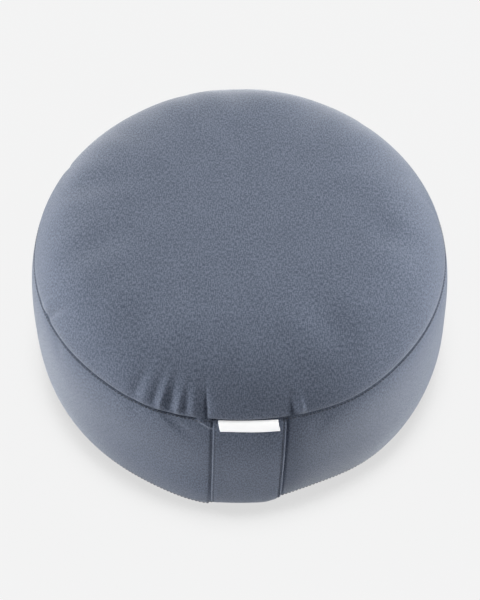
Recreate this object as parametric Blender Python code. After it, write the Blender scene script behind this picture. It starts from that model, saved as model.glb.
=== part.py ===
"""Round zafu meditation cushion with a carry strap and a folded label sewn into its seams.

The cover is a top panel, a side band and a bottom panel, filled firm, so it is one solid:
a crown above the upper seam, a band that swells between two drawn-in seams, and a base
pressed flat where it rests. Units are metres, +Z is up, and the strap is on the -Y side.
"""

import math
from typing import NamedTuple

import bmesh
import bpy
from mathutils import Vector

# Cover
SEAM_RADIUS = 0.154  # of the circle along which each panel is sewn to the band
BAND_HEIGHT = 0.108  # between the two seams
BAND_SWELL = 0.006  # how far the band stands out halfway between its seams
SWELL_POWER = 3.0  # higher is flatter in the middle and rounder at the seams
SEAM_NOTCH = 0.0015  # how deep a seam draws the cloth in
LOWER_SEAM_HEIGHT = 0.008  # above the surface that the cushion rests on
UPPER_SEAM_HEIGHT = LOWER_SEAM_HEIGHT + BAND_HEIGHT
CROWN_DOME = 0.0066  # the gentle dome over the whole top panel
CROWN_SHOULDER = 0.0448  # the height lost at its rounded rim
SHOULDER_POWER = 7.0  # higher keeps the crown level for longer
SHOULDER_FULLNESS = 0.75  # lower is fuller at the rim
REST_RADIUS = 0.132  # of the flat that the cushion rests on
TURNS = 144  # facets round the cushion
CROWN_RINGS = 11
BAND_RINGS = 9
UNDER_RINGS = 4

# Carry strap: a strip of the cover's cloth, folded double and caught in both seams
STRAP_MIDDLE = 0.0068  # of its upper end, from the cushion's middle towards +X
STRAP_WIDTH = 0.0505
STRAP_THICKNESS = 0.002
STRAP_SLACK = 0.0015  # how far it bows off the band
STRAP_LEAN = 0.0022  # how far the lower end sits to -X of the upper one
STRAP_CLEARANCE = 0.0005
STRAP_END_GAP = 0.0012  # between the strap's cut ends and the seams they are caught in
STRAP_ROWS = 28
STRAP_COLUMNS = 8

# Label: a woven tape folded over and caught in the upper seam, hanging over the strap
LABEL_WIDTH = 0.041
LABEL_DROP = 0.0065
LABEL_THICKNESS = 0.001
LABEL_OFFSET = -0.0012  # of its middle, from the strap's middle
LABEL_SKEW = 0.0014  # how far the fold has slipped sideways
LABEL_CLEARANCE = 0.0005
LABEL_FLARE = 0.0008  # how far the folded edge lifts off the strap
LABEL_ROWS = 6
LABEL_COLUMNS = 8


class Gather(NamedTuple):
    """A trough that the seam pulls into a panel, running away from the seam."""

    azimuth: float  # degrees from the strap, positive towards +X
    half_width: float  # degrees
    depth: float
    reach: float  # along the panel, away from the seam


PANEL_GATHERS = (
    Gather(-65.0, 3.0, 0.0016, 0.020),
    Gather(-28.5, 2.5, 0.0018, 0.028),
    Gather(-23.0, 2.5, 0.0016, 0.026),
    Gather(-18.5, 2.5, 0.0022, 0.028),
    Gather(-13.5, 2.5, 0.0014, 0.024),
    Gather(-8.0, 2.5, 0.0028, 0.030),
    Gather(13.5, 2.5, 0.0020, 0.020),
)
BAND_TUCK = Gather(21.0, 17.0, 0.0027, 0.040)  # the lower edge is drawn in beside the strap


def clear_scene():
    for obj in list(bpy.data.objects):
        bpy.data.objects.remove(obj)


def cloth_material(name, colour, roughness):
    material = bpy.data.materials.new(name)
    material.use_nodes = True
    shader = material.node_tree.nodes["Principled BSDF"]
    shader.inputs["Base Color"].default_value = (*colour, 1.0)
    shader.inputs["Roughness"].default_value = roughness
    shader.inputs["Metallic"].default_value = 0.0
    return material


def add_object(name, bm, material):
    """Makes the bmesh an object of its own, shaded smooth but for its sharp edges."""
    bmesh.ops.recalc_face_normals(bm, faces=bm.faces)
    mesh = bpy.data.meshes.new(name)
    bm.to_mesh(mesh)
    bm.free()
    mesh.shade_smooth()
    mesh.set_sharp_from_angle(angle=math.radians(40))
    mesh.materials.append(material)
    obj = bpy.data.objects.new(name, mesh)
    bpy.context.scene.collection.objects.link(obj)
    return obj


def band_radius(share):
    """Radius of the filled band, share 0 at the upper seam and 1 at the lower one."""
    swell = BAND_SWELL * (1 - abs(2 * share - 1) ** SWELL_POWER)
    at_seam = min(share, 1 - share) < 1e-6
    return SEAM_RADIUS + swell - (SEAM_NOTCH if at_seam else 0.0)


def cover_profile():
    """Half section of the filled cover, as (radius, height), from the top centre to the flat."""
    points = []
    for ring in range(CROWN_RINGS):
        share = math.sin(math.pi / 2 * ring / CROWN_RINGS)
        dome = CROWN_DOME * (1 - share**2)
        shoulder = CROWN_SHOULDER * (1 - share**SHOULDER_POWER) ** SHOULDER_FULLNESS
        points.append((SEAM_RADIUS * share, UPPER_SEAM_HEIGHT + dome + shoulder))
    for ring in range(BAND_RINGS + 1):
        share = (1 - math.cos(math.pi * ring / BAND_RINGS)) / 2
        points.append((band_radius(share), UPPER_SEAM_HEIGHT - BAND_HEIGHT * share))
    for ring in range(1, UNDER_RINGS + 1):
        share = ring / UNDER_RINGS
        radius = SEAM_RADIUS + (REST_RADIUS - SEAM_RADIUS) * share
        points.append((radius, LOWER_SEAM_HEIGHT * (1 - share) ** 2))
    return points


def bump(distance, width):
    """A smooth hump, 1 at distance 0 and 0 beyond width."""
    if abs(distance) >= width:
        return 0.0
    return math.cos(math.pi / 2 * distance / width) ** 2


def azimuth_of(point):
    """Degrees round the cushion from the strap, positive towards +X."""
    return math.degrees(math.atan2(point.x, -point.y))


def gather_cover(bm):
    """Pulls the gathers into the top panel's rim, and draws the band in beside the strap."""
    for vert in bm.verts:
        if vert.co.z < 1e-6:
            continue
        azimuth = azimuth_of(vert.co)
        radius = math.hypot(vert.co.x, vert.co.y)
        inward = 0.0
        down = 0.0
        if vert.co.z > UPPER_SEAM_HEIGHT + 1e-6:
            for row in PANEL_GATHERS:
                from_seam = math.hypot(SEAM_RADIUS - radius, vert.co.z - UPPER_SEAM_HEIGHT)
                pull = row.depth * bump(azimuth - row.azimuth, row.half_width)
                pull *= bump(from_seam - row.reach / 3, row.reach)
                inward += pull * 0.7
                down += pull * 0.7
        else:
            tuck = BAND_TUCK.depth * bump(azimuth - BAND_TUCK.azimuth, BAND_TUCK.half_width)
            tuck *= bump(vert.co.z - LOWER_SEAM_HEIGHT, BAND_TUCK.reach)
            inward += tuck
        vert.co.x *= (radius - inward) / max(radius, 1e-9)
        vert.co.y *= (radius - inward) / max(radius, 1e-9)
        vert.co.z -= down


def make_cover(material):
    """The half section turned about Z, closed by the flat that it rests on."""
    bm = bmesh.new()
    verts = [bm.verts.new((radius, 0.0, height)) for radius, height in cover_profile()]
    edges = [bm.edges.new(pair) for pair in zip(verts, verts[1:])]
    bmesh.ops.spin(
        bm,
        geom=verts + edges,
        cent=(0, 0, 0),
        axis=(0, 0, 1),
        angle=2 * math.pi,
        steps=TURNS,
        use_merge=True,
    )
    bmesh.ops.remove_doubles(bm, verts=bm.verts, dist=0.00005)
    rim = [edge for edge in bm.edges if edge.is_boundary]
    bmesh.ops.contextual_create(bm, geom=rim)
    gather_cover(bm)
    return add_object("cover", bm, material)


def section_radius(height):
    """Radius of the band at a height, read between the section's own rings."""
    ring = [p for p in cover_profile() if 1e-6 < p[1] <= UPPER_SEAM_HEIGHT + 1e-9]
    for (upper_radius, upper), (lower_radius, lower) in zip(ring, ring[1:]):
        if lower <= height <= upper:
            share = (upper - height) / (upper - lower)
            return upper_radius + (lower_radius - upper_radius) * share
    return ring[-1][0]


def strap_inner(share, across):
    """A point of the strap's inner face: share runs down it, across runs from -1 to 1.

    The ends follow the round seams. Between them the strap bows off the band and flattens,
    as a strip does when it bends along its length.
    """
    top = UPPER_SEAM_HEIGHT - STRAP_END_GAP
    bottom = LOWER_SEAM_HEIGHT + STRAP_END_GAP
    height = top + (bottom - top) * share
    bow = math.sin(math.pi * share)
    radius = section_radius(height) + STRAP_CLEARANCE + STRAP_SLACK * bow**1.5
    x = STRAP_MIDDLE + across * STRAP_WIDTH / 2 - STRAP_LEAN * share
    round_y = math.sqrt(radius**2 - x**2)
    middle_y = math.sqrt(radius**2 - STRAP_MIDDLE**2)
    flatness = min(1.0, 1.3 * bow)
    return Vector((x, -(round_y + (middle_y - round_y) * flatness), height))


def strap_outward(share, across):
    """Which way the strap's outer face looks at a point of it."""
    step = 0.02
    down = strap_inner(min(share + step, 1), across) - strap_inner(max(share - step, 0), across)
    sideways = strap_inner(share, across + step) - strap_inner(share, across - step)
    return down.cross(sideways).normalized()


def sheet_object(name, point_at, rows, columns, thickness, material):
    """A sheet of cloth: a grid of point_at(share, across), thickened outwards."""
    bm = bmesh.new()
    grid = [
        [bm.verts.new(point_at(i / rows, 2 * j / columns - 1)) for j in range(columns + 1)]
        for i in range(rows + 1)
    ]
    for upper, lower in zip(grid, grid[1:]):
        for j in range(columns):
            bm.faces.new((upper[j], lower[j], lower[j + 1], upper[j + 1]))
    obj = add_object(name, bm, material)
    outward = obj.data.polygons[0].normal.y < 0
    solidify = obj.modifiers.new("Cloth thickness", "SOLIDIFY")
    solidify.thickness = thickness
    solidify.offset = 1.0 if outward else -1.0
    solidify.use_even_offset = True
    return obj


def make_strap(material):
    return sheet_object(
        "carry_strap", strap_inner, STRAP_ROWS, STRAP_COLUMNS, STRAP_THICKNESS, material
    )


def label_inner(share, across):
    """A point of the label's inner face, just off the strap's outer face."""
    sideways = LABEL_OFFSET + across * LABEL_WIDTH / 2 + LABEL_SKEW * share
    strap_share = LABEL_DROP * share / (BAND_HEIGHT - 2 * STRAP_END_GAP)
    on_strap = 2 * (sideways + STRAP_LEAN * strap_share) / STRAP_WIDTH
    off = STRAP_THICKNESS + LABEL_CLEARANCE + LABEL_FLARE * share**2
    outward = strap_outward(strap_share, on_strap)
    return strap_inner(strap_share, on_strap) + outward * off


def make_label(material):
    return sheet_object(
        "label", label_inner, LABEL_ROWS, LABEL_COLUMNS, LABEL_THICKNESS, material
    )


def main():
    clear_scene()
    cover_cloth = cloth_material("cover_cloth", (0.14, 0.16, 0.21), 0.9)
    strap_cloth = cloth_material("strap_cloth", (0.14, 0.16, 0.21), 0.85)
    label_tape = cloth_material("label_tape", (0.86, 0.86, 0.83), 0.6)
    make_cover(cover_cloth)
    make_strap(strap_cloth)
    make_label(label_tape)


main()
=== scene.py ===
# %% [markdown]
# # A round zafu meditation cushion
# A zafu is a short drum of cotton filled hard with buckwheat hulls. Three panels make the
# cover: a round top, a deep side band and a round bottom. A carry strap runs down the
# front between the two seams, and a small blank tape label hangs over it.
#
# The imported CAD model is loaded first. It fixes where everything is, so the pieces made
# below go straight into its frame, in metres, with Z up and the strap on the -Y side.

# %% Load the frame
from typing import NamedTuple

import bpy
import numpy as np
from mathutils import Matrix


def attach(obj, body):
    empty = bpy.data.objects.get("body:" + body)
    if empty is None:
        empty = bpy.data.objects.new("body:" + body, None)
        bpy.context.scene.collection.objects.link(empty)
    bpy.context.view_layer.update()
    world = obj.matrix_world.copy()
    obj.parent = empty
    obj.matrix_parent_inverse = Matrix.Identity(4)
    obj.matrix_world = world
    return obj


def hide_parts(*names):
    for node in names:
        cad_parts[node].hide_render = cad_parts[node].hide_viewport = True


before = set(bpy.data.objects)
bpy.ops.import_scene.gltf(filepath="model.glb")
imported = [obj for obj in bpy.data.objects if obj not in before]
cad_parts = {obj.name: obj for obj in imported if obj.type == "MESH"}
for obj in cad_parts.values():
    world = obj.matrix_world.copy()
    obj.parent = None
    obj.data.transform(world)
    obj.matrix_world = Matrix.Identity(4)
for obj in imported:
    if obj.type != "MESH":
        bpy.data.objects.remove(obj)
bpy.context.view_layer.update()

scene = bpy.context.scene

# %% [markdown]
# ## Section of the cover
# Cut the cushion down the middle and one half of the cut edge is the section: a crown
# that is almost level and then rolls over to the upper seam, a band that swells between
# two drawn-in seams, and an underside pressed flat by the cushion's own weight. Turning a
# section about Z is the natural way to make something round, so each panel gets a
# function from a share (0 at its start, 1 at its end) to a radius and a height.

# %% Section of each panel
SEAM_RADIUS = 0.154
LOWER_SEAM = 0.008
BAND_HEIGHT = 0.108
UPPER_SEAM = LOWER_SEAM + BAND_HEIGHT
BAND_SWELL = 0.006  # how far the band stands out halfway between the seams
REST_RADIUS = 0.132  # of the flat underneath
REST_SHARE = 0.15  # share of the underside's section that is rounded
CROWN_DOME = 0.0066  # height of the low dome over the whole top
CROWN_SHOULDER = 0.0448  # height lost where the top rolls over to the seam
CROWN_TOP = UPPER_SEAM + CROWN_DOME + CROWN_SHOULDER


def top_section(share):
    """A low dome, 1 - share squared, on a shoulder, (1 - share to the power 7) to the 0.8."""
    dome = CROWN_DOME * (1 - share**2)
    shoulder = CROWN_SHOULDER * (1 - share**7) ** 0.8
    return SEAM_RADIUS * share, UPPER_SEAM + dome + shoulder


def band_section(share):
    """Down the band: the swell is 1 - |2 share - 1| cubed, so it fades at the seams."""
    swell = BAND_SWELL * (1 - np.abs(2 * share - 1) ** 3)
    return SEAM_RADIUS + swell, UPPER_SEAM - BAND_HEIGHT * share


def under_section(share):
    """From the lower seam inwards: a quarter-turn down to the flat, then level to the centre."""
    rim = np.clip(share / REST_SHARE, 0, 1)
    radius = SEAM_RADIUS + (REST_RADIUS - SEAM_RADIUS) * rim
    inner = np.clip((share - REST_SHARE) / (1 - REST_SHARE), 0, 1)
    return radius * (1 - inner), LOWER_SEAM * (1 - rim) ** 2


SECTIONS = {"top": top_section, "band": band_section, "under": under_section}


def section_of(panel, share):
    """Radius, height, outward normal and arc length along the section, at each share."""
    fine = np.linspace(0, 1, 4001)
    radius, height = SECTIONS[panel](fine)
    d_radius, d_height = np.gradient(radius, fine), np.gradient(height, fine)
    speed = np.hypot(d_radius, d_height)
    arc = np.concatenate([[0], np.cumsum((speed[1:] + speed[:-1]) / 2) * (fine[1] - fine[0])])
    columns = radius, height, -d_height / speed, d_radius / speed, arc
    return [np.interp(share, fine, column) for column in columns] + [arc[-1]]


for panel in SECTIONS:
    print(panel, "panel runs", round(float(section_of(panel, np.array([1.0]))[-1]), 4), "m")

# %% [markdown]
# ## Filling the cover
# Hulls press the cloth outwards everywhere except where stitching holds it. Blender's cloth
# solver does that well: the cover starts a few millimetres too small, its seams and its
# base are pinned, and air pressure inside stands in for the hulls. Twenty frames are
# enough. The average swell is taken off again afterwards and the rest is capped, so the
# sewn size stays what it is and only the natural unevenness is kept. The grid is coarse,
# so the result is read back as a sum of smooth waves that any finer grid can ask for.

# %% Start the cover small and uneven, as it is before it is filled
FILL_SMALLER = 0.004
UNEVEN_CAP = 0.0008  # how far a point may end up from the sewn shape
UNEVEN_START = 0.0004  # how uneven the hulls lie before the pressure comes on
COARSE_TURNS = 160
COARSE_ROWS = {"top": 20, "band": 14, "under": 8}


def coarse_shares(panel):
    """Where a panel's coarse rows lie along its section. Its last ring is the next panel's
    first, and the top's rows lie as a sine, closer together towards the seam."""
    rows = COARSE_ROWS[panel]
    if panel == "top":
        return np.sin(np.arange(1, rows) / rows * np.pi / 2)
    return np.arange(rows) / rows


def turned(radius, height, azimuth):
    """Points at a radius and height, turned from -Y towards +X by the azimuth."""
    flat = np.ones_like(azimuth)
    return np.stack([radius * np.sin(azimuth), -radius * np.cos(azimuth), height * flat], -1)


def settled(panel, share, azimuth):
    """How the hulls have settled: a few slow waves round the cushion, none at a seam."""
    rng = np.random.default_rng({"top": 5, "band": 11, "under": 3}[panel])
    total = np.zeros(np.broadcast(share, azimuth).shape)
    for turns in range(2, 12):
        phase, drift = rng.uniform(0, 2 * np.pi, 2)
        wave = np.cos(turns * azimuth + phase + 2 * np.sin(np.pi * share + drift))
        total += rng.normal() * wave / turns**0.7
    fade = np.sin(np.pi * share) if panel == "band" else share**2 * (1 - share**8)
    return UNEVEN_START * total * fade


def ring_faces(rows, columns):
    """Faces of a stack of rings with a pole at each end: point 0, the rings, the last point."""
    here = 1 + np.arange(rows * columns).reshape(rows, columns)
    right = np.roll(here, -1, axis=1)
    quads = np.stack([here[:-1], here[1:], right[1:], right[:-1]], -1).reshape(-1, 4)
    top = np.stack([np.zeros(columns, int), here[0], right[0]], -1)
    end = np.full(columns, rows * columns + 1)
    bottom = np.stack([here[-1], end, right[-1]], -1)
    return top.tolist() + quads.tolist() + bottom.tolist()


def pinned_mesh(name):
    """The three panels as one closed coarse grid, with the seams and the base pinned."""
    azimuth = np.linspace(-np.pi, np.pi, COARSE_TURNS, endpoint=False)[None, :]
    rings, held = [], []
    for panel in COARSE_ROWS:
        share = coarse_shares(panel)
        radius, height, out_r, out_z, _, _ = section_of(panel, share)
        pinned = (share == 0) | (panel == "under")
        small = np.where(pinned, 0, -FILL_SMALLER)[:, None]
        small = small + settled(panel, share[:, None], azimuth) * ~pinned[:, None]
        small_radius = radius[:, None] + out_r[:, None] * small
        small_height = height[:, None] + out_z[:, None] * small
        rings.append(turned(small_radius, small_height, azimuth))
        held.append(np.repeat(pinned, COARSE_TURNS))
    grid = np.concatenate(rings)
    points = np.concatenate([[(0, 0, CROWN_TOP - FILL_SMALLER)], grid.reshape(-1, 3), [(0, 0, 0)]])
    mesh = bpy.data.meshes.new(name)
    mesh.from_pydata(points.tolist(), [], ring_faces(len(grid), COARSE_TURNS))
    obj = bpy.data.objects.new(name, mesh)
    scene.collection.objects.link(obj)
    pins = obj.vertex_groups.new(name="held")
    pins.add((1 + np.flatnonzero(np.concatenate(held))).tolist(), 1.0, "REPLACE")
    print("unfilled cover:", grid.shape[:2], "points,", int(np.concatenate(held).sum()), "pinned")
    return obj, grid


# %% Let the pressure fill it
FILL_FRAMES = 20


def inflate(obj):
    """Runs the cloth solver and returns where the points end up."""
    cloth = obj.modifiers.new("Filling", "CLOTH")
    cloth.settings.quality = 6
    cloth.settings.mass = 0.3
    cloth.settings.use_pressure = True
    cloth.settings.uniform_pressure_force = 4
    cloth.settings.vertex_group_mass = "held"
    cloth.settings.effector_weights.gravity = 0
    cloth.point_cache.frame_start = 1
    cloth.point_cache.frame_end = FILL_FRAMES
    for step in range(1, FILL_FRAMES + 1):
        scene.frame_set(step)
    filled = obj.evaluated_get(bpy.context.evaluated_depsgraph_get())
    points = np.empty(len(filled.data.vertices) * 3)
    filled.data.vertices.foreach_get("co", points)
    scene.frame_set(1)
    return points.reshape(-1, 3)


def unevenness(panel, filled):
    """How far each filled point stands off the sewn shape, less its row's mean, and capped."""
    radius, height, out_r, out_z, _, _ = section_of(panel, coarse_shares(panel))
    outward = np.hypot(filled[..., 0], filled[..., 1]) - radius[:, None]
    upward = filled[..., 2] - height[:, None]
    swell = outward * out_r[:, None] + upward * out_z[:, None]
    swell -= swell.mean(1, keepdims=True)
    return np.clip(swell, -UNEVEN_CAP, UNEVEN_CAP)


# %% Keep the unevenness as a smooth field
WAVE_DEGREE = 7  # of the polynomials along a section
WAVE_TURNS = 24  # of the finest wave round the cushion


def smooth_waves(share, azimuth):
    """Polynomials along share, a column each, and sines and cosines round azimuth, a row each."""
    along = np.polynomial.chebyshev.chebvander(2 * share - 1, WAVE_DEGREE)
    turns = np.arange(1, WAVE_TURNS + 1)[:, None]
    level = np.ones((1, azimuth.size))
    return along, np.concatenate([level, np.cos(turns * azimuth), np.sin(turns * azimuth)])


def smooth_fit(share, azimuth, values):
    """How much of each wave it takes to come closest to the values on a grid."""
    along, around = smooth_waves(share, azimuth)
    return np.linalg.pinv(along) @ values @ np.linalg.pinv(around)


def smooth_value(amounts, share, azimuth):
    """The fitted field again, at any shares and azimuths."""
    along, around = smooth_waves(share, azimuth)
    return along @ amounts @ around


uneven = {}
raw, start_grid = pinned_mesh("unfilled_cover")
moved = inflate(raw)[1:-1].reshape(start_grid.shape)
bpy.data.objects.remove(raw)
azimuth = np.linspace(-np.pi, np.pi, COARSE_TURNS, endpoint=False)
first = 0
for panel in ("top", "band"):
    share = coarse_shares(panel)
    swell = unevenness(panel, moved[first : first + len(share)])
    first += len(share)
    print(panel, "unevenness kept by row, mm:", np.round(1000 * np.abs(swell).max(1), 1))
    uneven[panel] = smooth_fit(share, azimuth, swell)

# %% [markdown]
# ## Gathers, tucks and dents
# Where the top panel is a little longer than the band it is eased in, and the spare cloth
# stands up as short troughs and ridges that die out away from the seam. They come after
# the filling, because they are narrower than its grid. Each is a row of a table: where it
# starts, how wide and deep it is, how far it reaches, and how it leans. A second table
# holds the broad swells and dents, such as those beside the strap, which pulls on the
# band where it is sewn in.


# %% Tables of gathers
class Gather(NamedTuple):
    azimuth: float  # degrees from the strap, positive towards +X
    width: float  # metres across, to where it is about a third as deep
    depth: float  # metres, negative for a ridge
    reach: float  # metres from the seam to where it is about a third as deep
    lean: float  # metres sideways per metre away from the seam
    at_seam: float = 0.3  # share of the depth that is left at the stitches
    crisp: float = 2.0  # 2 is a round bottom, lower is a sharper one


TOP_GATHERS = (
    Gather(-8.4, 0.0014, 0.0026, 0.020, -0.08, 0.5, 1.5),
    Gather(-9.2, 0.0045, 0.0018, 0.024, -0.08, 0.2),
    Gather(-5.4, 0.0030, -0.0005, 0.018, -0.10, 0.2),
    Gather(-12.0, 0.0020, -0.0018, 0.018, 0.0, 0.0),
    Gather(-14.0, 0.0024, 0.0018, 0.018, -0.05, 0.0),
    Gather(-16.2, 0.0018, -0.0023, 0.019, 0.10, 0.0),
    Gather(-18.4, 0.0030, 0.0030, 0.021, 0.05, 0.0),
    Gather(-20.9, 0.0018, -0.0020, 0.020, 0.10, 0.0),
    Gather(-23.0, 0.0026, 0.0020, 0.020, 0.10, 0.0),
    Gather(-26.1, 0.0034, -0.0010, 0.020, 0.12, 0.1),
    Gather(-28.4, 0.0048, 0.0018, 0.026, 0.15, 0.1),
    Gather(13.8, 0.0026, 0.0034, 0.014, -0.1, 0.4, 1.7),
    Gather(16.2, 0.0022, -0.0034, 0.014, -0.1, 0.0, 1.7),
    Gather(-65.0, 0.0036, 0.0026, 0.018, 0.6, 0.5),
    Gather(-68.5, 0.0036, -0.0010, 0.017, 0.5, 0.3),
    Gather(96.0, 0.0045, 0.0012, 0.020, 0.3, 0.2),
    Gather(139.0, 0.0035, 0.0016, 0.018, -0.2, 0.2),
    Gather(143.5, 0.0035, -0.0009, 0.016, -0.2, 0.2),
    Gather(-118.0, 0.0040, 0.0014, 0.022, 0.2, 0.2),
    Gather(-163.0, 0.0050, 0.0012, 0.026, 0.1, 0.2),
)

BAND_GATHERS = (
    Gather(-10.2, 0.0026, -0.0024, 0.009, 1.5, 0.9),
    Gather(-27.5, 0.0050, 0.0011, 0.010, 0.0, 0.3),
    Gather(-18.5, 0.0060, 0.0012, 0.016, 0.9, 0.4),
    Gather(-21.5, 0.0030, -0.0006, 0.012, 0.9, 0.4),
    Gather(-57.0, 0.0060, 0.0009, 0.012, 0.2, 0.3),
    Gather(22.0, 0.0060, 0.0008, 0.016, -0.3, 0.3),
    Gather(104.0, 0.0060, 0.0011, 0.020, 0.2, 0.3),
    Gather(151.0, 0.0060, 0.0009, 0.016, -0.3, 0.3),
    Gather(-126.0, 0.0060, 0.0011, 0.022, 0.2, 0.3),
)


class Swell(NamedTuple):
    azimuth: float
    place: float  # metres down the section from the upper seam, negative on the top panel
    width: float  # metres round the cushion, to where it is about a third as high
    length: float  # metres along the section, likewise
    height: float  # metres, negative for a dent


SWELLS = (
    Swell(182.0, -0.045, 0.060, 0.040, 0.0008),
    Swell(-9.0, 0.105, 0.036, 0.026, 0.0034),
    Swell(5.0, 0.105, 0.070, 0.028, 0.0014),
    Swell(21.0, 0.105, 0.036, 0.030, -0.0034),
    Swell(-23.0, 0.000, 0.034, 0.026, 0.0026),
    Swell(29.0, 0.000, 0.040, 0.026, 0.0028),
    Swell(-88.0, 0.028, 0.060, 0.030, -0.0012),
    Swell(88.0, 0.032, 0.070, 0.034, -0.0018),
)


SEAM_FADE = 0.006  # how far from the stitches a gather has its full depth
print("gathers:", len(TOP_GATHERS), "and", len(BAND_GATHERS), "swells:", len(SWELLS))


# %% Depth of the gathers and height of the swells
def swollen(panel, azimuth, radius, arc, length):
    """Sum over the rows of height times two bell curves: round the cushion, and down the
    section, whose place is the arc length measured from the upper seam."""
    place = {"top": arc - length, "band": arc, "under": arc + BAND_HEIGHT}[panel]
    total = np.zeros(np.broadcast(azimuth, arc).shape)
    for row in SWELLS:
        turn = (azimuth - np.radians(row.azimuth) + np.pi) % (2 * np.pi) - np.pi
        bells = (turn * radius / row.width) ** 2 + ((place - row.place) / row.length) ** 2
        total += row.height * np.exp(-bells)
    return total


def gathered(rows, azimuth, radius, distance):
    """Sum over the rows of depth, fading across by exp(-(across / width) ** crisp) and
    along by exp(-(distance / reach) ** 2). At the stitches only at_seam of it is left."""
    total = np.zeros(np.broadcast(radius * azimuth, distance).shape)
    for row in rows:
        turn = (azimuth - np.radians(row.azimuth) + np.pi) % (2 * np.pi) - np.pi
        across = np.abs(turn * radius - row.lean * distance)
        fade = np.exp(-((distance / row.reach) ** 2))
        fade = fade * (1 - (1 - row.at_seam) * np.exp(-((distance / SEAM_FADE) ** 2)))
        total += row.depth * np.exp(-((across / row.width) ** row.crisp)) * fade
    return total


# %% [markdown]
# ## The cover
# The panels share their seam points, so the cover is one closed form. Rows are packed
# closely beside the seams, where the cloth turns in sharply, and spread out elsewhere.
# Columns are closer together at the front, where the gathers are. The UV map holds each
# panel's flat cut in metres: the discs keep their straight grain over the crown and the
# band's grain follows the drum, which is how woven cloth really lies on a sewn form.

# %% Sizes of the seams and of the strap's bed
TURNS = 960
TOP_ROWS, BAND_ROWS, UNDER_ROWS = 44, 44, 12
STITCH = 0.0028  # length of a seam stitch
SEAM_SLOT = 0.0011  # how deep the cloth turns in between the panels
SEAM_SLOT_WIDTH = 0.00034
SEAM_DRAW = 0.0005  # the softer hollow that the stitching pulls on both sides
SEAM_DRAW_WIDTH = 0.004
SLOT_OPENING = 0.35  # how much wider the slot is at a stitch, as a share
UPPER_BED, UPPER_BED_LENGTH = 0.0022, 0.004  # how deep the strap beds into the band
LOWER_BED, LOWER_BED_LENGTH = 0.0050, 0.011
BED_MARGIN, BED_SOFTNESS = 0.0014, 0.0006  # between the bed's rim and the strap's edge
EDGE_DENT = 0.0009  # how deep the band is pressed in along the strap's edges
EDGE_DENT_PLACE, EDGE_DENT_WIDTH = 0.0006, 0.0012
STRAP_MIDDLE = 0.0068  # where the strap's upper end is, towards +X
STRAP_WIDTH = 0.0500
STRAP_LEAN = 0.0030  # how far its lower end sits towards -X
STITCHES_ROUND = round(2 * np.pi * SEAM_RADIUS / STITCH)
print("each seam has", STITCHES_ROUND, "stitches")


# %% Rows, columns and the cover's surface
def bunched(count, tightness):
    """Shares from 0 to 1, close together near 0: sinh(tightness * k / count), scaled to 1."""
    k = np.arange(count + 1) / count
    return np.sinh(tightness * k) / np.sinh(tightness)


def front_heavy_azimuths(count):
    """Azimuths from -pi to pi, closer together about 0: each is u - 0.35 sin(u)."""
    u = np.linspace(-np.pi, np.pi, count + 1)
    return u - 0.35 * np.sin(u)


def seam_pull(to_seam, azimuth):
    """How deep a seam draws the cloth in: a slot, exp(-distance / width), a little wider at
    each stitch, and a softer hollow, exp(-(distance / width) ** 2)."""
    opening = 1 + SLOT_OPENING * np.cos(azimuth * STITCHES_ROUND)
    slot = SEAM_SLOT * np.exp(-to_seam / (SEAM_SLOT_WIDTH * opening))
    return slot + SEAM_DRAW * np.exp(-((to_seam / SEAM_DRAW_WIDTH) ** 2))


def strap_bed(radius, azimuth, arc, length):
    """How deep the strap beds into the band: bell curves down from the upper seam and up from
    the lower one, as wide as the strap, and a narrow bell curve along each of its edges."""
    aside = np.abs(radius * np.sin(azimuth) - STRAP_MIDDLE + STRAP_LEAN * arc / length)
    in_front = np.cos(azimuth) > 0
    past_edge = aside - STRAP_WIDTH / 2
    beneath = in_front / (1 + np.exp((past_edge + BED_MARGIN) / BED_SOFTNESS))
    upper = UPPER_BED * np.exp(-((arc / UPPER_BED_LENGTH) ** 2))
    lower = LOWER_BED * np.exp(-(((length - arc) / LOWER_BED_LENGTH) ** 2))
    beside = in_front * np.exp(-(((past_edge - EDGE_DENT_PLACE) / EDGE_DENT_WIDTH) ** 2))
    return beneath * (upper + lower) + EDGE_DENT * beside


def panel_surface(panel, share, azimuth):
    """The panel's points and UVs: its section turned about Z, then pushed along its normal by
    the filling's unevenness and the swells, less the seams' pull, the gathers and, on the
    band, the bed of the strap."""
    radius, height, out_r, out_z, arc, length = (
        column[:, None] if np.ndim(column) else column for column in section_of(panel, share)
    )
    to_seam = {"top": length - arc, "band": np.minimum(arc, length - arc), "under": arc}[panel]
    push = swollen(panel, azimuth, radius, arc, length) - seam_pull(to_seam, azimuth)
    if panel in uneven:
        fade = np.sin(np.pi * share[:, None] ** 2)
        push = push + smooth_value(uneven[panel], share, azimuth[0]) * fade
    if panel == "top":
        push = push - gathered(TOP_GATHERS, azimuth, np.maximum(radius, 0.05), to_seam)
    if panel == "band":
        push = push - gathered(BAND_GATHERS, azimuth, radius, arc)
        push = push - strap_bed(radius, azimuth, arc, length)
    points = turned(radius + out_r * push, np.maximum(height + out_z * push, 0), azimuth)
    if panel == "band":
        uv = np.stack(np.broadcast_arrays(azimuth * SEAM_RADIUS, -arc), -1)
    else:
        flat = arc if panel == "top" else length - arc
        uv = np.stack([flat * np.sin(azimuth), -flat * np.cos(azimuth)], -1)
    return points, uv


def link_piece(name, points, faces, uv=None):
    """Makes a mesh object of the points and faces, smooth, with a UV for each corner."""
    mesh = bpy.data.meshes.new(name)
    mesh.from_pydata(np.asarray(points).reshape(-1, 3).tolist(), [], faces)
    if uv is not None:
        mesh.uv_layers.new(name="cloth").data.foreach_set("uv", np.asarray(uv, "f").ravel())
    mesh.shade_smooth()
    obj = bpy.data.objects.new(name, mesh)
    scene.collection.objects.link(obj)
    return obj


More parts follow.
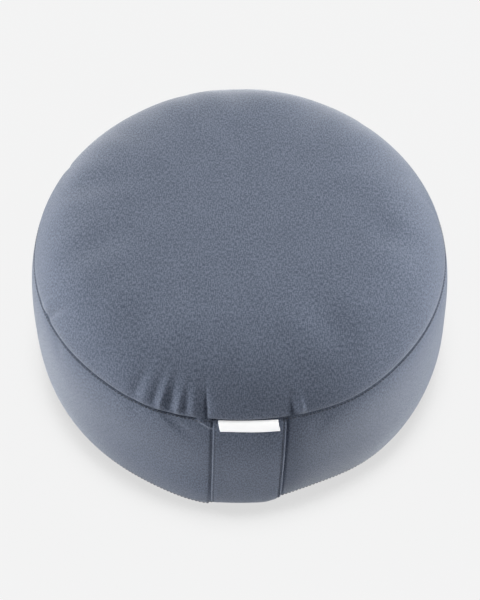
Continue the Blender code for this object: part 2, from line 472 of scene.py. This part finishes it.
# %% Make the cover
azimuths = front_heavy_azimuths(TURNS)[None, :]
top_share = 1 - bunched(TOP_ROWS, 4.4)[::-1]
half = bunched(BAND_ROWS // 2, 4.2) / 2
band_share = np.concatenate([half, 1 - half[::-1][1:]])
under_share = 0.97 * bunched(UNDER_ROWS, 3.5)
panels = [
    panel_surface("top", top_share[1:], azimuths),
    panel_surface("band", band_share, azimuths),
    panel_surface("under", under_share[1:], azimuths),
]
rings = np.concatenate([panels[0][0][:-1], panels[1][0], panels[2][0]])[:, :-1]
points = np.concatenate([[(0, 0, CROWN_TOP)], rings.reshape(-1, 3), [(0, 0, 0)]])
faces = ring_faces(len(rings), TURNS)
print("cover:", rings.shape[0], "rings of", TURNS, "points")


# %% Lay the flat cuts out as UVs and link the cover
def corner_uvs(uv):
    """UVs of the four corners of each quad between the rows of one panel."""
    return np.stack([uv[:-1, :-1], uv[1:, :-1], uv[1:, 1:], uv[:-1, 1:]], 2).reshape(-1, 4, 2)


def pole_uvs(ring, last):
    """UVs of the fan of triangles that closes a panel at its centre."""
    middle = np.zeros((TURNS, 2))
    order = [ring[:-1], middle, ring[1:]] if last else [middle, ring[:-1], ring[1:]]
    return np.stack(order, 1)


uv_parts = [pole_uvs(panels[0][1][0], False)]
uv_parts += [corner_uvs(uv) for _, uv in panels[:2]]
under_uv = np.concatenate([panel_surface("under", under_share[:1], azimuths)[1], panels[2][1]])
uv_parts += [corner_uvs(under_uv), pole_uvs(under_uv[-1], True)]
cover_uv = np.concatenate([part.reshape(-1, 2) for part in uv_parts])
cover = link_piece("cover_cloth", points, faces, cover_uv)
print("cover:", len(faces), "faces")

# %% [markdown]
# ## Seam stitches
# A filled seam is pulled open a little, and the thread then shows between the panels as a
# dotted line, one bar for each stitch. The bars are near-black: painted shade of the slot
# they lie in. Each bar is a bent tube. All of them are worked out at once as one array:
# stitch, step along the bar, step round it.

# %% A row of thread bars
THREAD = 0.00055  # thread diameter
BAR_ROWS, BAR_SIDES = 7, 6  # rings along a bar and points round each ring
SEAM_BAR = 0.0019  # how much of a seam stitch shows
SEAM_BAR_BOW = 0.0002
UPPER_STAND_OUT = 0.00035  # of the thread, past the surface that the slot is cut into
LOWER_STAND_OUT = -0.0001


def thread_bars(name, middles, along, outward, length, bow):
    """Tubes centred on middles: each runs length along its direction and bows outwards by
    bow times (1 - t squared), t from -1 to 1, and narrows at its ends."""
    t = np.linspace(-1, 1, BAR_ROWS)[None, :, None]
    spine = middles[:, None] + along[:, None] * t * length / 2
    spine = spine + outward[:, None] * bow * (1 - t**2)
    side = np.cross(along, outward)
    ring = np.linspace(0, 2 * np.pi, BAR_SIDES, endpoint=False)
    thick = THREAD / 2 * np.sqrt(1 - np.abs(t) ** 6 * 0.96)[..., None]
    offset = np.cos(ring)[:, None] * side[:, None, None]
    offset = offset + np.sin(ring)[:, None] * outward[:, None, None]
    tube = spine[:, :, None] + offset * thick
    here = np.arange(len(middles) * BAR_ROWS * BAR_SIDES).reshape(-1, BAR_ROWS, BAR_SIDES)
    around = np.roll(here, -1, axis=2)
    quads = np.stack([here[:, :-1], around[:, :-1], around[:, 1:], here[:, 1:]], -1)
    caps = np.concatenate([here[:, 0, ::-1], here[:, -1]])
    return link_piece(name, tube, quads.reshape(-1, 4).tolist() + caps.tolist())


def seam_bars(name, ring, stand_out):
    """Bars along a seam, one for each stitch, at the ring's own radius and height, moved out
    by the depth of the slot and by stand_out."""
    azimuth = np.linspace(-np.pi, np.pi, STITCHES_ROUND, endpoint=False) + np.pi / STITCHES_ROUND
    radius = np.interp(azimuth, azimuths[0, :-1], np.hypot(ring[:, 0], ring[:, 1]))
    outward = turned(np.ones_like(azimuth), np.zeros_like(azimuth), azimuth)
    height = np.interp(azimuth, azimuths[0, :-1], ring[:, 2])
    middles = turned(radius + SEAM_SLOT + stand_out, height, azimuth)
    along = np.stack([np.cos(azimuth), np.sin(azimuth), np.zeros_like(azimuth)], -1)
    return thread_bars(name, middles, along, outward, SEAM_BAR, SEAM_BAR_BOW)


upper_ring, lower_ring = panels[1][0][0, :-1], panels[1][0][-1, :-1]
upper_stitches = seam_bars("upper_seam_stitches", upper_ring, UPPER_STAND_OUT)
lower_stitches = seam_bars("lower_seam_stitches", lower_ring, LOWER_STAND_OUT)
print("seam rings at heights", upper_ring[0, 2], lower_ring[0, 2])

# %% [markdown]
# ## Carry strap
# The strap is a strip of the same cotton folded double and topstitched along both edges.
# It is a cross-section carried down a path: a flat loop with rounded edges and a shallow
# groove where each line of stitching pulls the layers together. The path leaves the upper
# seam, bows a little off the band and turns in at the lower seam, where one corner curls.

# %% Path of the strap
STRAP_THICKNESS = 0.0018
STRAP_GAP = 0.0004  # between the band and the strap's inner face
STRAP_SLACK = 0.0016  # how far it bows off the band
LOWER_FLARE, FLARE_SHARE = 0.0022, 0.24  # how far it stands off above the lower seam
UPPER_TURN_IN, UPPER_TURN_SHARE = 0.0042, 0.016  # how far its ends turn in
LOWER_TURN_IN, LOWER_TURN_SHARE = 0.0075, 0.05
STRAP_START = 0.0002  # of its upper end below the upper seam
STRAP_OVERRUN = 0.003  # how much longer it is than the band
STRAP_SPREAD = 0.0010  # how much wider its lower end is
STRAP_FLATNESS = 0.8  # 0 follows the round band and 1 is as flat as a board
CORNER_CURL, CURL_SHARE = 0.0085, 0.13  # of its lower corner on the +X side
CURL_FROM = 0.35  # across the strap, where the curl begins


def strap_path(share):
    """Radius and height of the inner face: the band's radius and the gap, a bow that goes as
    sin(pi share) to the 0.4, a bell-curve flare, and less where the two ends turn in."""
    height = UPPER_SEAM - STRAP_START - (BAND_HEIGHT + STRAP_OVERRUN) * share
    radius, _ = band_section(np.clip((UPPER_SEAM - height) / BAND_HEIGHT, 0, 1))
    flare = LOWER_FLARE * np.exp(-(((1 - share) / FLARE_SHARE) ** 2))
    bow = STRAP_SLACK * np.sin(np.pi * share) ** 0.4
    upper_end = UPPER_TURN_IN * np.exp(-share / UPPER_TURN_SHARE)
    lower_end = LOWER_TURN_IN * np.exp(-(((1 - share) / LOWER_TURN_SHARE) ** 1.3))
    return radius + STRAP_GAP + flare + bow - upper_end - lower_end, height


def strap_surface(share, across, depth):
    """Points at a share down the strap, across it from -1 to 1, and a depth outwards. The
    middle is flattened, as a bent strip is, and the corner's curl goes as a cube."""
    radius, height = strap_path(share)
    half_width = (STRAP_WIDTH + STRAP_SPREAD * share) / 2
    x = STRAP_MIDDLE + across * half_width - STRAP_LEAN * share
    round_y = np.sqrt(radius**2 - x**2)
    middle_y = np.sqrt(radius**2 - STRAP_MIDDLE**2)
    flatness = np.clip(1.2 * np.sin(np.pi * share), 0, STRAP_FLATNESS)
    y = round_y + (middle_y - round_y) * flatness
    curl = np.clip((across - CURL_FROM) / (1 - CURL_FROM), 0, 1) ** 3
    y = y - CORNER_CURL * curl * np.exp(-(((1 - share) / CURL_SHARE) ** 2))
    return np.stack(np.broadcast_arrays(x, -(y + depth), height), -1)


# %% Cross-section of the strap
STITCH_INSET = 0.0017  # of the topstitching from the strap's edge
LEFT_GROOVE, RIGHT_GROOVE = 0.0002, 0.0006  # how deep it pulls into the layers
GROOVE_WIDTH = 0.00055
PUFF, PUFF_PLACE, PUFF_WIDTH = 0.0002, 0.0042, 0.0018  # of the layers inside the stitching


def strap_section(steps):
    """The closed section as (across, depth), over the outer face and back over the inner one:
    half-round edges, with the groove and the puff beside it as bell curves."""
    edge = bunched(steps // 2, 3.4) / 2
    across = 2 * np.concatenate([edge, 1 - edge[::-1][1:]]) - 1
    inset = (1 - np.abs(across)) * STRAP_WIDTH / 2
    rounding = np.sqrt(1 - (1 - inset / (STRAP_THICKNESS / 2)).clip(0, 1) ** 2)
    groove = np.where(across > 0, RIGHT_GROOVE, LEFT_GROOVE)
    groove = groove * np.exp(-(((inset - STITCH_INSET) / GROOVE_WIDTH) ** 2))
    puff = PUFF * np.exp(-(((inset - PUFF_PLACE) / PUFF_WIDTH) ** 2))
    outer = STRAP_THICKNESS / 2 * (1 + rounding) - groove + puff
    inner = STRAP_THICKNESS / 2 * (1 - rounding)
    back = slice(-2, 0, -1)
    return np.concatenate([across, across[back]]), np.concatenate([outer, inner[back]])


# %% Make the strap
def tube_faces(rows, columns):
    """Quads of rows of closed loops, with one face over each end."""
    here = np.arange(rows * columns).reshape(rows, columns)
    right = np.roll(here, -1, axis=1)
    quads = np.stack([here[:-1], here[1:], right[1:], right[:-1]], -1).reshape(-1, 4)
    return quads.tolist() + [here[0].tolist(), here[-1, ::-1].tolist()]


def loop_uvs(points):
    """UVs in metres: the distance round the loop and the distance down the piece. The faces
    over the two ends don't show, so theirs are 0."""
    closed = np.concatenate([points, points[:, :1]], 1)
    u = np.cumsum(np.linalg.norm(np.diff(closed, axis=1, prepend=closed[:, :1]), axis=2), 1)
    v = np.cumsum(np.linalg.norm(np.diff(closed, axis=0, prepend=closed[:1]), axis=2), 0)
    uv = np.stack([u, -v], -1)
    flat = np.zeros((2 * points.shape[1], 2))
    return np.concatenate([corner_uvs(uv).reshape(-1, 2), flat])


half = bunched(45, 2.4) / 2
share = np.concatenate([half, 1 - half[::-1][1:]])[:, None]
across_loop, depth_loop = strap_section(96)
strap_points = strap_surface(share, across_loop[None, :], depth_loop[None, :])
strap_faces = tube_faces(*strap_points.shape[:2])
strap = link_piece("carry_strap_cloth", strap_points, strap_faces, loop_uvs(strap_points))
print("strap:", strap_points.shape)

# %% [markdown]
# ## Topstitching
# A line of stitches down each edge holds the folded strip flat. The thread lies in the
# groove that it pulls, and each stitch dips into the cloth at both ends. The same bars
# serve again: only where they sit and which way they run is new, and both are read off
# the strap's own surface, so the stitches follow it wherever it bends.

# %% Topstitching down both edges of the strap
STITCH_SUNK = 0.00045  # of the thread's middle below the strap's outer face
STITCH_BOW = 0.0003
STITCH_SHOWS = 0.8  # share of each stitch that lies on top


def strap_stitches(name, side):
    """One bar a stitch, down the edge on one side, -1 or 1. Its direction and its outward
    normal come from steps down and across the strap's surface."""
    count = round(BAND_HEIGHT / STITCH)
    down = (np.arange(count) + 0.5) / count
    across = side * (1 - STITCH_INSET / (STRAP_WIDTH / 2))
    depth = STRAP_THICKNESS - STITCH_SUNK
    middle = strap_surface(down, across, depth)
    ahead = strap_surface(down + 0.01, across, depth)
    along = (ahead - middle) / np.linalg.norm(ahead - middle, axis=1, keepdims=True)
    sideways = strap_surface(down, across + 0.02, depth) - middle
    outward = np.cross(along, sideways)
    outward /= np.linalg.norm(outward, axis=1, keepdims=True)
    print(name, "has", count, "stitches")
    return thread_bars(name, middle, along, outward, STITCH * STITCH_SHOWS, STITCH_BOW)


left_topstitch = strap_stitches("strap_topstitch_left", -1)
right_topstitch = strap_stitches("strap_topstitch_right", 1)

# %% [markdown]
# ## Label
# A woven tape label is a strip folded over and caught in the seam, so it hangs as two
# layers with a soft fold at its lower edge. It is left blank. The strip is a path in
# depth, down the outer layer and back up the inner one, repeated across its width, and
# Solidify gives it the thickness of tape.

# %% Make the label
LABEL_WIDTH = 0.041
LABEL_MIDDLE = STRAP_MIDDLE - 0.0012
LABEL_START = 0.0003  # of its caught ends below the seam
LABEL_DROP = 0.0048  # of the fold below its ends
LABEL_LENGTH = 0.0074  # down the slope, from the seam to the fold
LABEL_FLARE = 0.0056  # how far the fold stands out past the seam
LABEL_SKEW = 0.0014  # how far the fold has slipped towards +X
LABEL_FLATNESS = 0.6  # 0 follows the round cushion and 1 is as flat as a board
LABEL_RIPPLE = 0.0002
LABEL_CAUGHT = 0.0007  # how far its ends are caught in the seam
LAYER_HALF_GAP = 0.0003  # half the distance between the two layers' middles
FOLD_SHARE = 0.06  # share of the drop that the fold takes up
TAPE_THICKNESS = 0.00032


def label_surface(along, across):
    """Points of the tape: along runs from 0 to 1, down the outer layer, round a half-round
    fold and up the inner one, across from -1 to 1. It flares as the drop's share to the 0.6."""
    drop = np.where(along < 0.5, along * 2, 2 - along * 2)
    turn = np.clip((drop - 1 + FOLD_SHARE) / FOLD_SHARE, 0, 1)
    layer = LAYER_HALF_GAP * np.sqrt(1 - turn**2) * np.where(along < 0.5, 1, -1)
    x = LABEL_MIDDLE + across * LABEL_WIDTH / 2 + LABEL_SKEW * drop
    radius = SEAM_RADIUS - LABEL_CAUGHT + LABEL_FLARE * drop**0.6 + layer
    round_y = np.sqrt(radius**2 - x**2)
    flat_y = np.sqrt(radius**2 - LABEL_MIDDLE**2)
    ripple = LABEL_RIPPLE * np.sin(3.1 * across + 0.8) * drop
    y = round_y + LABEL_FLATNESS * (flat_y - round_y) + ripple
    z = UPPER_SEAM - LABEL_START - LABEL_DROP * drop
    return np.stack(np.broadcast_arrays(x, -y, z), -1)


half = bunched(26, 3.2)
label_along = np.concatenate([0.5 * (1 - half[::-1]), 0.5 + 0.5 * half[1:]])
label_across = np.linspace(-1, 1, 61)
label_points = label_surface(label_along[:, None], label_across[None, :])
rows, columns = label_points.shape[:2]
here = np.arange(rows * columns).reshape(rows, columns)
label_faces = np.stack([here[:-1, :-1], here[1:, :-1], here[1:, 1:], here[:-1, 1:]], -1)
label_u = label_across[None, :] * LABEL_WIDTH / 2
label_v = -2 * LABEL_LENGTH * label_along[:, None]
label_uv = np.stack(np.broadcast_arrays(label_u, label_v), -1)
label_faces = label_faces.reshape(-1, 4).tolist()
label = link_piece("blank_label", label_points, label_faces, corner_uvs(label_uv))
tape = label.modifiers.new("Tape thickness", "SOLIDIFY")
tape.thickness = TAPE_THICKNESS
tape.offset = 0
print("label:", label_points.shape)

# %% [markdown]
# ## Cloth
# Everything but the label is one dyed cotton in plain weave: each yarn goes over one and
# under the next. At arm's length the yarns are too fine to tell apart, and what shows is
# the unevenness of the spinning: thick places, or slubs, that run a few millimetres along
# a yarn. The weave is a node group so that panels, strap and label can share it.

# %% Helpers for node trees
def add_node(tree, kind, **settings):
    """A new node with the given settings."""
    node = tree.nodes.new(kind)
    for name, value in settings.items():
        setattr(node, name, value)
    return node


def maths(tree, operation, first, second=None, third=None):
    """A Math node whose inputs are numbers or other nodes' outputs; returns its output."""
    node = add_node(tree, "ShaderNodeMath", operation=operation)
    for socket, value in zip(node.inputs, (first, second, third)):
        if value is None:
            continue
        if isinstance(value, (int, float)):
            socket.default_value = value
        else:
            tree.links.new(value, socket)
    return node.outputs[0]


def new_material(name):
    """A material, its node tree and its Principled shader."""
    material = bpy.data.materials.new(name)
    material.use_nodes = True
    return material, material.node_tree, material.node_tree.nodes["Principled BSDF"]


def colour_between(tree, factor, dark, light):
    """A colour that runs from dark to light with the factor; returns its output."""
    mix = add_node(tree, "ShaderNodeMix", data_type="RGBA")
    tree.links.new(factor, mix.inputs["Factor"])
    mix.inputs[6].default_value = (*dark, 1)
    mix.inputs[7].default_value = (*light, 1)
    return mix.outputs[2]


# %% The weave group
def noise(tree, vector, stretch, detail):
    """Noise over the flat cloth, stretched by (x, y) cycles per metre."""
    place = add_node(tree, "ShaderNodeMapping")
    place.inputs["Scale"].default_value = (*stretch, 1)
    tree.links.new(vector, place.inputs["Vector"])
    node = add_node(tree, "ShaderNodeTexNoise", noise_dimensions="2D")
    node.inputs["Scale"].default_value = 1
    node.inputs["Detail"].default_value = detail
    tree.links.new(place.outputs[0], node.inputs["Vector"])
    return node.outputs["Fac"]


WARP_SHARE = 0.62  # of the slubs; the weft has the rest
SLUB_ACROSS, SLUB_ALONG = 1400, 450  # cycles per metre across and along a yarn
MOTTLE = 45  # cycles per metre


def weave_group():
    """Plain weave. Height: at each crossing the warp or the weft is on top, each a round
    yarn. Slub: noise stretched along both yarns. Mottle: slow unevenness of the dye."""
    tree = bpy.data.node_groups.new("plain_weave", "ShaderNodeTree")
    sockets = tree.interface
    sockets.new_socket("Place", in_out="INPUT", socket_type="NodeSocketVector")
    sockets.new_socket("Yarns per metre", in_out="INPUT", socket_type="NodeSocketFloat")
    for name in ("Height", "Slub", "Mottle"):
        sockets.new_socket(name, in_out="OUTPUT", socket_type="NodeSocketFloat")
    given = add_node(tree, "NodeGroupInput")
    result = add_node(tree, "NodeGroupOutput")
    split = add_node(tree, "ShaderNodeSeparateXYZ")
    tree.links.new(given.outputs["Place"], split.inputs[0])
    waves = []
    for axis in (0, 1):
        yarns = maths(tree, "MULTIPLY", split.outputs[axis], given.outputs["Yarns per metre"])
        waves.append(maths(tree, "SINE", maths(tree, "MULTIPLY", yarns, np.pi)))
    on_top = maths(tree, "MULTIPLY_ADD", maths(tree, "MULTIPLY", *waves), 0.5, 0.5)
    warp = maths(tree, "MULTIPLY", maths(tree, "ABSOLUTE", waves[0]), on_top)
    beneath = maths(tree, "SUBTRACT", 1.0, on_top)
    weft = maths(tree, "MULTIPLY", maths(tree, "ABSOLUTE", waves[1]), beneath)
    tree.links.new(maths(tree, "MAXIMUM", warp, weft), result.inputs["Height"])
    place = given.outputs["Place"]
    along_warp = noise(tree, place, (SLUB_ACROSS, SLUB_ALONG), 1.5)
    along_weft = noise(tree, place, (SLUB_ALONG, SLUB_ACROSS), 1.5)
    along_weft = maths(tree, "MULTIPLY", along_weft, 1 - WARP_SHARE)
    both = maths(tree, "MULTIPLY_ADD", along_warp, WARP_SHARE, along_weft)
    tree.links.new(both, result.inputs["Slub"])
    tree.links.new(noise(tree, place, (MOTTLE, MOTTLE), 4), result.inputs["Mottle"])
    return tree


weave = weave_group()
print("weave group:", len(weave.nodes), "nodes")

# %% [markdown]
# ## Cotton and tape
# Dyed cotton is matt, with a soft sheen at grazing angles from the fuzz on its yarns. Its
# colour runs between a darker and a lighter tone with the slubs and the mottle of the
# weave group, and a small bump lets the yarns catch the light. The label is a finer,
# smoother weave of white tape from the same function.

# %% Cotton and tape materials
YARN_RELIEF = 0.00012  # height of a yarn in the bump


def woven_material(name, dark, light, yarns, bump, sheen, roughness):
    """A Principled material whose colour runs from dark to light with the slubs and the
    mottle, and darker where the weave is low as painted shade between the yarns, and whose
    bump is the weave on the slubs."""
    material, tree, shader = new_material(name)
    shader.inputs["Specular IOR Level"].default_value = 0.2
    shader.inputs["Sheen Weight"].default_value = sheen
    shader.inputs["Sheen Roughness"].default_value = 0.45
    shader.inputs["Sheen Tint"].default_value = (0.92, 0.94, 0.97, 1)
    cloth_map = add_node(tree, "ShaderNodeUVMap", uv_map="cloth")
    group = add_node(tree, "ShaderNodeGroup", node_tree=weave)
    group.inputs["Yarns per metre"].default_value = yarns
    tree.links.new(cloth_map.outputs[0], group.inputs["Place"])
    tone = maths(tree, "MULTIPLY_ADD", group.outputs["Slub"], 5.0, -2.0)
    mottle = maths(tree, "MULTIPLY_ADD", group.outputs["Mottle"], 0.35, -0.175)
    tone = maths(tree, "ADD", tone, mottle)
    # Painted shade: the colour is darker where the weave is low, between the yarns
    yarn_gap_shade = maths(tree, "MULTIPLY_ADD", group.outputs["Height"], 0.3, -0.15)
    colour = colour_between(tree, maths(tree, "ADD", tone, yarn_gap_shade), dark, light)
    tree.links.new(colour, shader.inputs["Base Color"])
    rough = maths(tree, "MULTIPLY_ADD", group.outputs["Slub"], -0.1, roughness + 0.05)
    tree.links.new(rough, shader.inputs["Roughness"])
    relief = maths(tree, "MULTIPLY_ADD", group.outputs["Slub"], 1.2, group.outputs["Height"])
    bumps = add_node(tree, "ShaderNodeBump")
    bumps.inputs["Strength"].default_value = bump
    bumps.inputs["Distance"].default_value = YARN_RELIEF
    tree.links.new(relief, bumps.inputs["Height"])
    tree.links.new(bumps.outputs[0], shader.inputs["Normal"])
    return material


DYED_DARK, DYED_LIGHT = (0.083, 0.104, 0.148), (0.177, 0.207, 0.275)
TAPE_DARK, TAPE_LIGHT = (0.9, 0.9, 0.89), (0.96, 0.96, 0.95)
cotton = woven_material("blue_grey_cotton", DYED_DARK, DYED_LIGHT, 1500, 0.6, 0.6, 0.9)
tape_cloth = woven_material("white_label_tape", TAPE_DARK, TAPE_LIGHT, 2600, 0.15, 0.1, 0.6)

# Painted light: a weak glow makes the white tape look brighter than the light on it
tape_glow_shader = tape_cloth.node_tree.nodes["Principled BSDF"]
tape_glow_shader.inputs["Emission Color"].default_value = (1, 1, 1, 1)
tape_glow_shader.inputs["Emission Strength"].default_value = 0.4

# %% [markdown]
# ## Thread
# Sewing thread is smoother than the cotton and twisted, which breaks its colour up. The
# bars have no UVs, so a fine noise over their own coordinates stands in for the twist. The
# seam bars are near-black, painted shade of the seam slots they lie in, and the strap's
# thread is in the cloth's own colour.

# %% Thread materials, and a material for each piece
def thread_material(name, colour):
    """Sewing thread, a quarter darker to a fifth lighter than the colour with a fine noise."""
    material, tree, shader = new_material(name)
    shader.inputs["Roughness"].default_value = 0.6
    shader.inputs["Sheen Weight"].default_value = 0.3
    place = add_node(tree, "ShaderNodeTexCoord")
    grain = add_node(tree, "ShaderNodeTexNoise")
    grain.inputs["Scale"].default_value = 1800
    tree.links.new(place.outputs["Object"], grain.inputs["Vector"])
    dark, light = np.outer((0.75, 1.2), colour).tolist()
    mixed = colour_between(tree, grain.outputs["Fac"], dark, light)
    tree.links.new(mixed, shader.inputs["Base Color"])
    return material


# Painted shade: the seam bars are near-black so that they show as the shade in the seam's slot
seam_shade_thread = thread_material("seam_thread_painted_shade", (0.012, 0.014, 0.022))
edge_thread = thread_material("grey_blue_thread", (0.09, 0.105, 0.14))
worn_by = {
    cotton: (cover, strap),
    tape_cloth: (label,),
    seam_shade_thread: (upper_stitches, lower_stitches),
    edge_thread: (left_topstitch, right_topstitch),
}
for material, worn in worn_by.items():
    for piece in worn:
        piece.data.materials.append(material)
    print(material.name, "on", [piece.name for piece in worn])

# %% [markdown]
# ## Tying the pieces to the body
# Every piece rides on the model's one body. The CAD solids stay for the physics but are
# hidden, because cloth is never shown as plain CAD.

# %% Tie the pieces to the frame
pieces = {
    cover: "cover_cloth",
    upper_stitches: "cover_cloth",
    lower_stitches: "cover_cloth",
    strap: "strap_cloth",
    left_topstitch: "strap_cloth",
    right_topstitch: "strap_cloth",
    label: "label_tape",
}
for piece, slot in pieces.items():
    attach(piece, "root")
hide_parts("cover")
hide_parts("carry_strap")
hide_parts("label")

# %% [markdown]
# ## Floor
# The cushion stands in a white sweep, which a camera sees as one even tone. The floor
# therefore shows the camera mostly its own brightness, darker only where the cushion
# shades it closely, while every other ray finds a plain white diffuse floor, which lights
# the cushion from below as a real one does.

# %% Floor
floor_mesh = bpy.data.meshes.new("floor")
floor_mesh.from_pydata([(-6, -6, 0), (6, -6, 0), (6, 6, 0), (-6, 6, 0)], [], [(0, 1, 2, 3)])
floor = bpy.data.objects.new("floor", floor_mesh)
scene.collection.objects.link(floor)
WHITE = 0.9  # how bright the camera sees the sweep
SHADE_REACH = 0.045
SHADE_POWER = 5.4  # higher keeps the shade closer to the cushion
DEEPEST_SHADE = 0.21
GLOW_SHARE = 0.985  # of what the camera sees


def sweep_material(name, brightness, contact):
    """Plain white diffuse to every ray but the camera's. The camera sees mostly the sweep's
    brightness, less contact times (1 - openness) to the power SHADE_POWER, and less by
    DEEPEST_SHADE at most."""
    material, tree, paint = new_material(name)
    paint.inputs["Base Color"].default_value = (0.77, 0.8, 0.87, 1)
    paint.inputs["Roughness"].default_value = 0.9
    paint.inputs["Specular IOR Level"].default_value = 0.0
    open_share = add_node(tree, "ShaderNodeAmbientOcclusion", samples=16)
    open_share.inputs["Distance"].default_value = SHADE_REACH
    shaded = maths(tree, "SUBTRACT", 1.0, open_share.outputs["AO"])
    shaded = maths(tree, "MULTIPLY", maths(tree, "POWER", shaded, SHADE_POWER), contact)
    shaded = maths(tree, "MINIMUM", shaded, DEEPEST_SHADE)
    glow = add_node(tree, "ShaderNodeEmission")
    tree.links.new(maths(tree, "SUBTRACT", brightness, shaded), glow.inputs["Strength"])
    light_path = add_node(tree, "ShaderNodeLightPath")
    mix = add_node(tree, "ShaderNodeMixShader")
    seen = maths(tree, "MULTIPLY", light_path.outputs["Is Camera Ray"], GLOW_SHARE)
    tree.links.new(seen, mix.inputs["Fac"])
    tree.links.new(paint.outputs[0], mix.inputs[1])
    tree.links.new(glow.outputs[0], mix.inputs[2])
    tree.links.new(mix.outputs[0], tree.nodes["Material Output"].inputs["Surface"])
    return material


floor_mesh.materials.append(sweep_material("white_sweep", WHITE, 8.5))
print("floor:", floor_mesh.materials[0].name)

# %% [markdown]
# ## Lights
# Softboxes stand at both sides: low ones, level with the band, for its bright edges, and
# higher ones beside and behind it for the crown. Little comes from the camera's side, so
# the front of the drum is its darkest part. Each is an area light and a row of a table.

# %% Lights
BOX_DISTANCE = 1.6
BOX_WIDTH = 0.9
AIM_HEIGHT = 0.08  # about the middle of the cushion


class Softbox(NamedTuple):
    name: str
    azimuth: float  # degrees from the front, positive towards +X
    elevation: float  # degrees
    height: float  # metres, of the box itself
    power: float  # watts


SOFTBOXES = (
    Softbox("left_low_front", -65, 2, 0.25, 12.0),
    Softbox("left_low", -90, 2, 0.25, 3.0),
    Softbox("left_low_rear", -125, 2, 0.25, 9.1),
    Softbox("left_high", -90, 55, 0.6, 9.4),
    Softbox("left_rear", -125, 28, 0.6, 1.5),
    Softbox("left_rear_high", -125, 55, 0.6, 6.0),
    Softbox("right_side", 90, 28, 0.6, 16.8),
    Softbox("right_low", 90, 2, 0.25, 1.5),
    Softbox("right_low_rear", 110, 2, 0.25, 8.0),
    Softbox("right_rear", 125, 28, 0.6, 5.4),
    Softbox("right_rear_high", 125, 55, 0.6, 3.5),
)


def add_softbox(box):
    """An area light that stands at an azimuth and elevation and faces the cushion."""
    light = bpy.data.lights.new(box.name, "AREA")
    light.shape = "RECTANGLE"
    light.size = BOX_WIDTH
    light.size_y = box.height
    light.energy = box.power
    lamp = bpy.data.objects.new(box.name, light)
    turn, lift = np.radians(box.azimuth), np.radians(box.elevation)
    lamp.location = (
        BOX_DISTANCE * np.cos(lift) * np.sin(turn),
        -BOX_DISTANCE * np.cos(lift) * np.cos(turn),
        BOX_DISTANCE * np.sin(lift) + AIM_HEIGHT,
    )
    lamp.rotation_euler = (np.pi / 2 - lift, 0, turn)
    lamp.visible_camera = False
    scene.collection.objects.link(lamp)


for box in SOFTBOXES:
    add_softbox(box)
print("softboxes:", len(SOFTBOXES))

# %% [markdown]
# ## Room and camera
# The room is white to the camera and dark to every other ray, so all the light on the
# cushion comes from the softboxes and the floor. The camera is a long lens in front of
# the cushion and above it, 37 degrees off straight down, so most of the top shows.

# %% Room tone and view transform
world = bpy.data.worlds.new("white_room")
world.use_nodes = True
room = world.node_tree
room.nodes["Background"].inputs["Color"].default_value = (1, 1, 1, 1)
room_path = add_node(room, "ShaderNodeLightPath")
room_tone = maths(room, "MULTIPLY", room_path.outputs["Is Camera Ray"], WHITE)
room.links.new(room_tone, room.nodes["Background"].inputs["Strength"])
scene.world = world
scene.view_settings.view_transform = "Standard"

# %% Camera
camera_data = bpy.data.cameras.new("camera")
camera_data.lens = 85.2
camera_data.sensor_width = 36
camera = bpy.data.objects.new("camera", camera_data)
camera.location = (0, -0.6756, 0.9368)
camera.rotation_euler = (np.radians(37.34), 0, 0)
scene.collection.objects.link(camera)
scene.camera = camera
print("camera:", round(camera_data.lens, 1), "mm lens at", tuple(round(c, 3) for c in camera.location))
